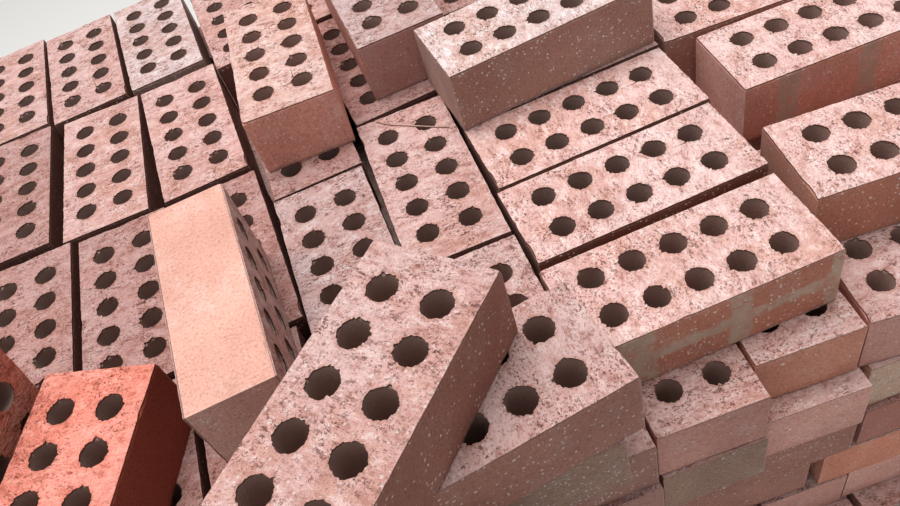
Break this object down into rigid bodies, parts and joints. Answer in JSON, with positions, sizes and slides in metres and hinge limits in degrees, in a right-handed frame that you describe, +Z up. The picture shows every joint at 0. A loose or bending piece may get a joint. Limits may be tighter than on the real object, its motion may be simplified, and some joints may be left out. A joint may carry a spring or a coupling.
{
  "type": "pallet of bricks",
  "caption": "Perforated clay bricks stacked in crossed courses on a wooden pallet, with loose bricks thrown back on top.",
  "frame": {"origin": "centre of the pallet's underside, on its middle bottom board", "axes": "+X along the pallet's bearers, +Y from the front of the stack to its back, +Z up"},
  "size_m": [1.2, 1.0602, 0.9745],
  "materials": {
    "brick_clay": "matte",
    "pallet_wood": "matte"
  },
  "bodies": {
    "root": {"course_1_bricks": "brick_clay", "course_1_core": "brick_clay", "course_2_bricks": "brick_clay", "course_2_core": "brick_clay", "course_3_bricks": "brick_clay", "course_3_core": "brick_clay", "course_4_bricks": "brick_clay", "course_4_core": "brick_clay", "course_5_bricks": "brick_clay", "course_5_core": "brick_clay", "course_6_bricks": "brick_clay", "course_6_core": "brick_clay", "course_7_bricks": "brick_clay", "course_7_core": "brick_clay", "course_8_bricks": "brick_clay", "course_8_core": "brick_clay", "loose_brick_1": "brick_clay", "loose_brick_2": "brick_clay", "loose_brick_3": "brick_clay", "loose_brick_4": "brick_clay", "loose_brick_5": "brick_clay", "loose_brick_6": "brick_clay", "loose_brick_7": "brick_clay", "loose_brick_8": "brick_clay", "pallet_bearer_front": "pallet_wood", "pallet_bearer_middle": "pallet_wood", "pallet_bearer_rear": "pallet_wood", "pallet_bottom_board_left": "pallet_wood", "pallet_bottom_board_middle": "pallet_wood", "pallet_bottom_board_right": "pallet_wood", "pallet_deck_board_1": "pallet_wood", "pallet_deck_board_2": "pallet_wood", "pallet_deck_board_3": "pallet_wood", "pallet_deck_board_4": "pallet_wood", "pallet_deck_board_5": "pallet_wood", "pallet_deck_board_6": "pallet_wood", "pallet_deck_board_7": "pallet_wood", "pallet_deck_board_8": "pallet_wood", "pallet_deck_board_9": "pallet_wood", "top_course_headers": "brick_clay", "top_course_stretchers": "brick_clay"}
  },
  "joints": []
}
